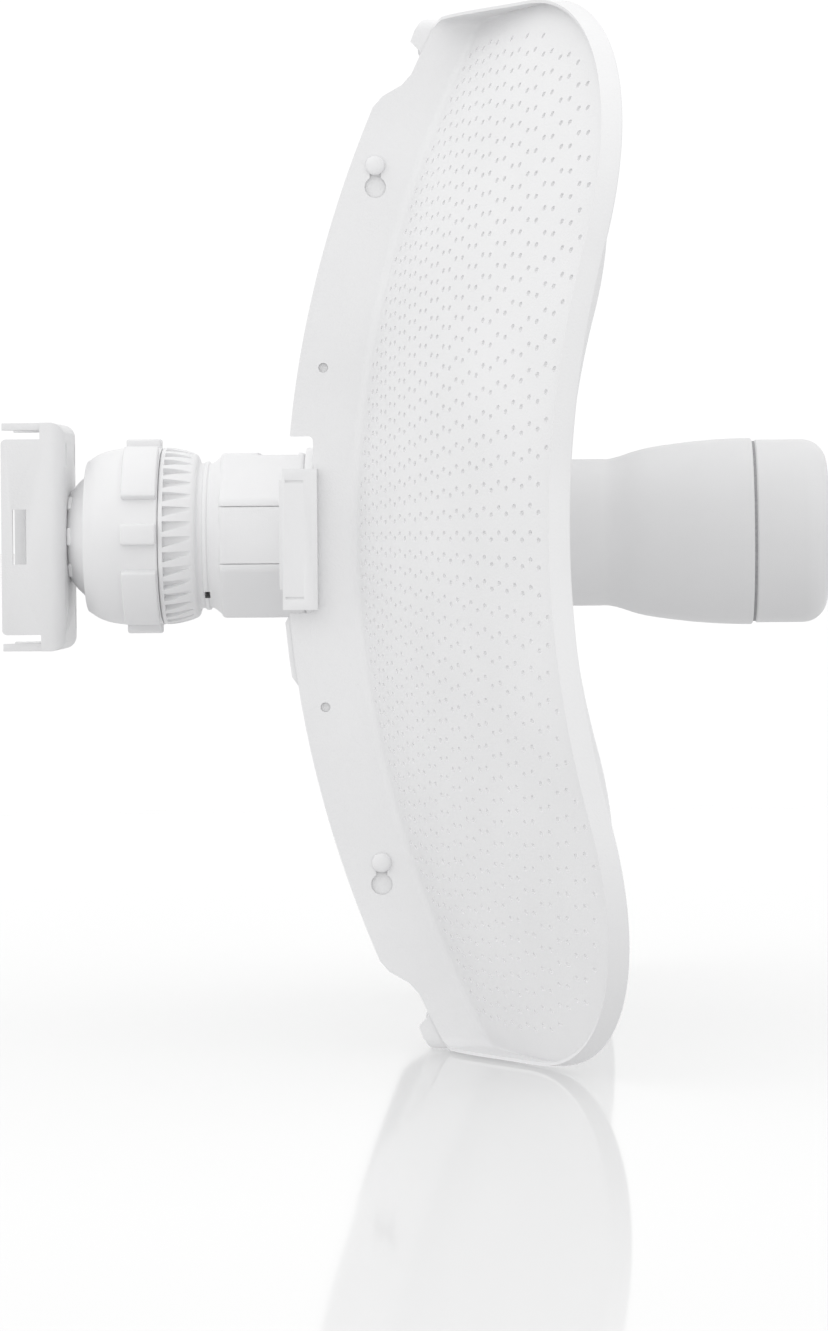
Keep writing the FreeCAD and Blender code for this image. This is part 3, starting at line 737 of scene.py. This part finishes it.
def spun_block(name, x, radii, start, sweep, steps=8):
    """A block swept round the X axis from angle start (degrees, from -Y towards +Z)."""
    deselect()
    middle = ((x[0] + x[1]) / 2, 0, (radii[0] + radii[1]) / 2)
    bpy.ops.mesh.primitive_plane_add(size=1, location=middle, rotation=(math.pi / 2, 0, 0))
    piece = bpy.context.object
    piece.scale = (x[1] - x[0], radii[1] - radii[0], 1)
    bpy.ops.object.transform_apply(location=True, rotation=True, scale=True)
    bpy.ops.object.mode_set(mode="EDIT")
    bpy.ops.mesh.select_all(action="SELECT")
    bpy.ops.mesh.spin(steps=steps, angle=math.radians(sweep), center=(0, 0, 0), axis=(1, 0, 0))
    bpy.ops.mesh.select_all(action="SELECT")
    bpy.ops.mesh.normals_make_consistent(inside=False)
    bpy.ops.object.mode_set(mode="OBJECT")
    piece.name = name
    turned_already = sweep_start(piece)
    turn = Matrix.Rotation(math.radians(90 - start) - turned_already, 4, "X")
    piece.data.transform(turn)
    return piece


def sweep_start(piece):
    """Angle about X, from +Z towards -Y, at which a spun piece begins after spinning."""
    angles = [math.atan2(-v.co.y, v.co.z) for v in piece.data.vertices]
    return -max(angles)


def merged(name, pieces):
    """Join pieces into one object."""
    deselect()
    for piece in pieces:
        piece.select_set(True)
    bpy.context.view_layer.objects.active = pieces[0]
    bpy.ops.object.join()
    pieces[0].name = name
    return pieces[0]


def cut_away(base, cutter):
    apply_modifier(base, "BOOLEAN", operation="DIFFERENCE", object=cutter, solver="EXACT")
    bpy.data.objects.remove(cutter)


def ease_edges(piece, width, angle=32, segments=2):
    apply_modifier(piece, "BEVEL", width=width, segments=segments, limit_method="ANGLE",
                   angle_limit=math.radians(angle), harden_normals=False, use_clamp_overlap=True)


def wedge(name, length, widths, height, rise):
    """A cutter along X from the origin: its far end is narrower and raised, in the Y and Z directions."""
    deselect()
    bpy.ops.mesh.primitive_cube_add(size=1, location=(length / 2, 0, 0))
    piece = bpy.context.object
    piece.scale = (length, widths[0], height)
    bpy.ops.object.transform_apply(location=True, rotation=True, scale=True)
    bpy.ops.object.mode_set(mode="EDIT")
    bpy.ops.mesh.select_all(action="DESELECT")
    mesh = bmesh.from_edit_mesh(piece.data)
    for vert in mesh.verts:
        vert.select = vert.co.x > length / 2
    mesh.select_flush(True)
    bmesh.update_edit_mesh(piece.data)
    far = widths[1] / widths[0]
    bpy.ops.transform.resize(value=(1, far, 1), center_override=(length, 0, 0))
    bpy.ops.transform.translate(value=(0, (widths[0] - widths[1]) / 2, rise))
    bpy.ops.object.mode_set(mode="OBJECT")
    piece.name = name
    return piece


def ring_copies(piece, count, first=0.0):
    """Copies of a piece spaced evenly about the X axis, joined, with the first one used up."""
    copies = []
    for i in range(count):
        other = piece.copy()
        other.data = piece.data.copy()
        other.data.transform(Matrix.Rotation(math.radians(first + 360 * i / count), 4, "X"))
        bpy.context.collection.objects.link(other)
        copies.append(other)
    bpy.data.objects.remove(piece)
    return merged("copies", copies)


def eased_copy(node, name, body, slot, width, angle=32):
    """A copy of a CAD part with its sharp edges eased."""
    piece = bpy.data.objects.new(name, frame["nodes"][node].data.copy())
    bpy.context.collection.objects.link(piece)
    deselect()
    piece.select_set(True)
    bpy.context.view_layer.objects.active = piece
    bpy.ops.object.mode_set(mode="EDIT")
    bpy.ops.mesh.select_all(action="SELECT")
    bpy.ops.mesh.remove_doubles(threshold=2e-6)
    bpy.ops.mesh.dissolve_limited(angle_limit=math.radians(0.6))
    bpy.ops.object.mode_set(mode="OBJECT")
    ease_edges(piece, width, angle)
    return finish_piece(piece, name, body, [node], Finishes.by_slot[slot])


class BRIDGE_OT_ball(Operator):
    """Make the ball with its feet"""
    bl_idname = "bridge.ball"
    bl_label = "Mount ball"

    def execute(self, context):
        low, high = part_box("mount_ball")
        radius = high[2]
        centre = low[0] + 22.7 * MM
        rear = math.degrees(math.acos(-22.7 * MM / radius))
        stations = [(low[0], 3.2 * MM), (low[0], 14.4 * MM)]
        stations += arc_stations(centre, 0, radius, rear, 90, 20)
        stations += [(centre + 1.2 * MM, radius), (centre + 2.2 * MM, 24.3 * MM)]
        stations += arc_stations(centre, 0, 24.5 * MM, 82, 43, 14)
        stations += [(high[0], 15 * MM), (high[0], 3.2 * MM)]
        ball = turned("ball", stations, 112)
        feet = []
        for angle in (-46, 0, 46, 134, 180, 226):
            feet.append(spun_block("foot", (low[0], low[0] + 5.2 * MM), (11 * MM, 17 * MM),
                                   angle - 11, 22, 6))
        foot_ring = merged("feet", feet)
        ease_edges(foot_ring, 1.3 * MM, 40, 4)
        whole = merged("ball", [ball, foot_ring])
        finish_piece(whole, "mount_ball_moulding", "bracket", ["mount_ball"],
                     Finishes.by_slot["housing_plastic"])
        return {"FINISHED"}


class BRIDGE_OT_nut(Operator):
    """Make the lock nut with its four wide and four narrow lugs"""
    bl_idname = "bridge.nut"
    bl_label = "Lock nut"

    def execute(self, context):
        low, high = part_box("lock_nut")
        rear, front = low[0], high[0]
        centre = rear + 16.4 * MM
        outer = [(rear, 22.4 * MM), (rear, 25.9 * MM)]
        outer += arc_stations(rear + 0.7 * MM, 25.9 * MM, 0.7 * MM, 180, 110, 5)
        outer += smooth_stations([(rear + 1.2 * MM, 27.0 * MM), (rear + 3.6 * MM, 28.6 * MM),
                                  (rear + 7 * MM, 29.9 * MM), (rear + 11 * MM, 30.7 * MM),
                                  (rear + 15 * MM, 31.0 * MM)], 4)
        front += 0.2 * MM
        outer += [(front - 0.5 * MM, 31.0 * MM), (front, 30.6 * MM), (front, 29.8 * MM),
                  (centre + 1.6 * MM, 29.7 * MM), (centre + 1.6 * MM, 27.5 * MM)]
        outer += arc_stations(centre, 0, 27.5 * MM, 88, 126, 12)
        body = turned("nut", outer, 144)
        lugs = []
        for quarter in range(4):
            for middle, spread in ((1, 12.5), (46, 44)):
                lugs.append(spun_block("lug", (rear + 13.7 * MM, front - 0.3 * MM), (29.9 * MM, high[2]),
                                       90 * quarter + middle - spread / 2, spread, 4 if spread < 20 else 12))
        lug_ring = merged("lugs", lugs)
        ease_edges(lug_ring, 0.75 * MM, 40, 3)
        whole = merged("nut", [body, lug_ring])
        finish_piece(whole, "lock_nut_moulding", "nut", ["lock_nut"],
                     Finishes.by_slot["housing_plastic"])
        return {"FINISHED"}


class BRIDGE_OT_collar(Operator):
    """Make the collar with its ring of slanted grip pockets"""
    bl_idname = "bridge.collar"
    bl_label = "Ribbed collar"

    def execute(self, context):
        low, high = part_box("ribbed_collar")
        rear, front = low[0], high[0]
        outer = [(rear, 28.9 * MM), (rear, 30.5 * MM), (rear + 0.3 * MM, 30.8 * MM)]
        outer += smooth_stations([(rear + 1.2 * MM, 30.9 * MM), (rear + 4 * MM, 30.7 * MM),
                                  (rear + 8 * MM, 29.9 * MM), (rear + 11 * MM, 28.9 * MM),
                                  (rear + 12.2 * MM, 28.1 * MM), (front, 27.0 * MM)], 3)
        outer += [(front, 26.3 * MM)]
        collar = turned("collar", outer, 144)
        pocket = wedge("pocket", 10.0 * MM, (3.7 * MM, 1.0 * MM), 6 * MM, 0.5 * MM)
        pocket.data.transform(Matrix.Translation((rear + 1.5 * MM, 0, 31.3 * MM)))
        cut_away(collar, ring_copies(pocket, 36, 4))
        ease_edges(collar, 0.22 * MM, 38, 2)
        finish_piece(collar, "ribbed_collar_moulding", "head", ["ribbed_collar"],
                     Finishes.by_slot["housing_plastic"])
        return {"FINISHED"}


class BRIDGE_OT_neck(Operator):
    """Make the neck: rings, octagonal block, latch recess and port window"""
    bl_idname = "bridge.neck"
    bl_label = "Neck"

    def execute(self, context):
        low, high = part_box("neck_housing")
        rear, front = low[0], high[0]
        ring = [(rear, 27.6 * MM), (rear, 29.0 * MM),
                (rear + 0.4 * MM, 29.4 * MM), (rear + 7.8 * MM, 29.4 * MM),
                (rear + 7.8 * MM, 28.7 * MM), (rear + 20.4 * MM, 26.1 * MM), (rear + 21 * MM, 25.4 * MM),
                (rear + 22.4 * MM, 25.4 * MM), (rear + 22.8 * MM, 26.0 * MM), (rear + 24.0 * MM, 26.0 * MM),
                (rear + 24.4 * MM, 25.3 * MM), (rear + 25.2 * MM, 25.4 * MM), (rear + 26.2 * MM, 26.0 * MM),
                (rear + 28.4 * MM, 27.9 * MM), (rear + 29.6 * MM, 28.6 * MM), (rear + 33 * MM, 28.7 * MM),
                (rear + 33 * MM, 12 * MM), (rear + 19 * MM, 12 * MM), (rear + 10 * MM, 24.6 * MM)]
        rings = turned("rings", ring, 112)
        deselect()
        side = 28.7 * MM / math.cos(math.radians(22.5))
        start = rear + 28.6 * MM
        bpy.ops.mesh.primitive_cylinder_add(vertices=8, radius=side, depth=front - start,
                                            location=((start + front) / 2, 0, 0),
                                            rotation=(0, math.pi / 2, 0))
        block = context.object
        bpy.ops.object.transform_apply(location=True, rotation=True, scale=True)
        block.data.transform(Matrix.Rotation(math.radians(22.5), 4, "X"))
        ease_edges(block, 1.6 * MM, 30, 4)
        cutters = [turned("bore", [(rear + 28.2 * MM, 25.9 * MM), (front + 1 * MM, 25.9 * MM)], 96)]
        recesses = [((107.6, 119.4), (-9.4, 9.4), (22, 33)), ((106.4, 120.6), (-14, 14), (27.9, 33)),
                    ((95.2, 119.0), (-8.5, 8.5), (-33, -20))]
        for side in ((-32, -27.6), (27.6, 32)):
            for groove in ((9.7, 10.1), (-10.1, -9.7)):
                recesses.append(((93.4, 118.0), side, groove))
        for x, y, z in recesses:
            deselect()
            bpy.ops.mesh.primitive_cube_add(size=1, location=[sum(span) / 2 * MM for span in (x, y, z)])
            context.object.scale = [(span[1] - span[0]) * MM for span in (x, y, z)]
            bpy.ops.object.transform_apply(location=True, rotation=True, scale=True)
            cutters.append(context.object)
        for cutter in cutters:
            cut_away(block, cutter)
        deselect()
        bpy.ops.mesh.primitive_cube_add(size=1, location=(rear + 23.8 * MM, -17 * MM, -20.6 * MM))
        context.object.scale = (1.9 * MM, 24 * MM, 2.2 * MM)
        bpy.ops.object.transform_apply(location=True, rotation=True, scale=True)
        cut_away(rings, context.object)
        ease_edges(rings, 0.25 * MM, 38, 2)
        ease_edges(block, 0.3 * MM, 50, 2)
        whole = merged("neck", [rings, block])
        finish_piece(whole, "neck_moulding", "head", ["neck_housing"],
                     Finishes.by_slot["housing_plastic"])
        return {"FINISHED"}


class BRIDGE_OT_pegs(Operator):
    """Make the four mushroom pegs that hold the wings"""
    bl_idname = "bridge.pegs"
    bl_label = "Panel pegs"

    def execute(self, context):
        pegs = []
        for side in (-1, 1):
            for x, z in ((24.8, 120.8), (25.0, -107.6)):
                peg = [(107.4, 1.4), (107.4, 2.3), (107.7, 2.6), (108.8, 2.6), (108.8, 1.6), (111.25, 1.6),
                       (111.25, 2.9), (111.5, 3.2), (111.9, 3.2), (112.4, 3.0), (112.8, 2.5), (113.1, 1.6),
                       (113.2, 0.5)]
                piece = turned("peg", [(a * MM, b * MM) for a, b in peg], 40)
                piece.data.transform(Matrix.Rotation(math.radians(90), 4, "Z"))
                if side < 0:
                    piece.data.transform(Matrix.Rotation(math.pi, 4, "Z"))
                piece.data.transform(Matrix.Translation((VERTEX + x * MM, 0, z * MM)))
                pegs.append(piece)
        finish_piece(merged("pegs", pegs), "panel_pegs_domed", "head", ["panel_pegs"],
                     Finishes.by_slot["panel_metal"])
        return {"FINISHED"}


class BRIDGE_OT_eased_parts(Operator):
    """Ease the edges of the bracket, the saddle, the latch and the door"""
    bl_idname = "bridge.eased_parts"
    bl_label = "Bracket, saddle and small parts"

    def execute(self, context):
        eased_copy("pole_bracket", "pole_bracket_sheet", "bracket", "bracket_metal", 0.45 * MM)
        eased_copy("mount_saddle", "mount_saddle_moulding", "head", "housing_plastic", 0.7 * MM)
        eased_copy("release_latch", "release_latch_moulding", "latch", "housing_plastic", 0.25 * MM)
        eased_copy("port_door", "port_door_moulding", "door", "housing_plastic", 0.3 * MM)
        return {"FINISHED"}


# Stage

class BRIDGE_OT_stage(Operator):
    """Set up the floor, the soft light and the camera"""
    bl_idname = "bridge.stage"
    bl_label = "Stage"

    def execute(self, context):
        scene = context.scene
        scene.view_settings.view_transform = "Standard"
        deselect()
        floor_z = CAD_BOX[0][2] - 1.0 * MM
        bpy.ops.mesh.primitive_plane_add(size=60, location=(0, 20, floor_z))
        floor = context.object
        floor.name = "studio_floor"
        floor.visible_diffuse = False
        white, shader = new_finish("floor_white")
        shader.inputs["Base Color"].default_value = (0.85, 0.85, 0.85, 1)
        shader.inputs["Roughness"].default_value = 0.06
        shader.inputs["Specular IOR Level"].default_value = 0.5
        floor.data.materials.append(white)

        world = bpy.data.worlds.new("studio_world")
        scene.world = world
        world.use_nodes = True
        tree = world.node_tree
        place = tree.nodes.new("ShaderNodeTexCoord")
        split = tree.nodes.new("ShaderNodeSeparateXYZ")
        ramp = tree.nodes.new("ShaderNodeValToRGB")
        span = tree.nodes.new("ShaderNodeMapRange")
        span.inputs["From Min"].default_value = -1
        span.inputs["From Max"].default_value = 1
        ramp.color_ramp.elements[0].position = 0.25
        ramp.color_ramp.elements[0].color = (0.72, 0.72, 0.725, 1)
        ramp.color_ramp.elements[1].position = 0.49
        ramp.color_ramp.elements[1].color = (1.03, 1.03, 1.03, 1)
        tree.links.new(place.outputs["Generated"], split.inputs["Vector"])
        tree.links.new(split.outputs["Z"], span.inputs["Value"])
        tree.links.new(span.outputs["Result"], ramp.inputs["Fac"])
        tree.links.new(ramp.outputs["Color"], tree.nodes["Background"].inputs["Color"])

        deselect()
        bpy.ops.object.light_add(type="AREA", location=(-0.9, -1.6, 1.9))
        key = context.object
        key.data.energy = 4
        key.data.size = 1.8
        key.rotation_euler = (Vector((0.12, 0, 0)) - key.location).to_track_quat("-Z", "Y").to_euler()
        deselect()
        bpy.ops.object.light_add(type="AREA", location=(-0.3, -2.6, 0.1), rotation=(math.pi / 2, 0, 0))
        fill = context.object
        fill.data.energy = 3
        fill.data.size = 1.6
        deselect()
        bpy.ops.object.light_add(type="AREA", location=(0.1, 0.3, 2.6))
        top = context.object
        top.data.energy = 6
        top.data.size = 2.6

        camera = bpy.data.objects.new("camera", bpy.data.cameras.new("camera"))
        context.collection.objects.link(camera)
        camera.location = (VERTEX + 84 * MM, -1.748, 0)
        aim = Vector((-0.029, 0.9996, 0)).to_track_quat("-Z", "Y")
        camera.rotation_euler = (aim @ Quaternion((0, 0, 1), math.radians(CAMERA_ROLL))).to_euler()
        camera.data.lens = 135.2
        camera.data.sensor_width = 36
        camera.data.shift_y = -0.0989
        scene.camera = camera
        return {"FINISHED"}


class BRIDGE_PT_panel(Panel):
    """Lists the bridge's pieces in the order they are made"""
    bl_idname = "BRIDGE_PT_panel"
    bl_label = "Wireless bridge"
    bl_space_type = "VIEW_3D"
    bl_region_type = "UI"
    bl_category = "Bridge"

    def draw(self, context):
        column = self.layout.column()
        for operator in OPERATORS:
            column.operator(operator.bl_idname)
        for group in (context.scene.dish_sizes, context.scene.bridge_colours):
            for key in group.__annotations__:
                column.prop(group, key)


OPERATORS = (BRIDGE_OT_stage, BRIDGE_OT_finishes, BRIDGE_OT_dish, BRIDGE_OT_casing, BRIDGE_OT_ball,
             BRIDGE_OT_nut, BRIDGE_OT_collar, BRIDGE_OT_neck, BRIDGE_OT_pegs, BRIDGE_OT_eased_parts)
CLASSES = (DishSizes, BridgeColours) + OPERATORS + (BRIDGE_PT_panel,)


def register():
    for item in CLASSES:
        bpy.utils.register_class(item)
    bpy.types.Scene.dish_sizes = PointerProperty(type=DishSizes)
    bpy.types.Scene.bridge_colours = PointerProperty(type=BridgeColours)


def unregister():
    del bpy.types.Scene.dish_sizes
    del bpy.types.Scene.bridge_colours
    for item in reversed(CLASSES):
        bpy.utils.unregister_class(item)


def main():
    register()
    for operator in OPERATORS:
        family, action = operator.bl_idname.split(".")
        getattr(getattr(bpy.ops, family), action)()


if __name__ == "__main__":
    main()
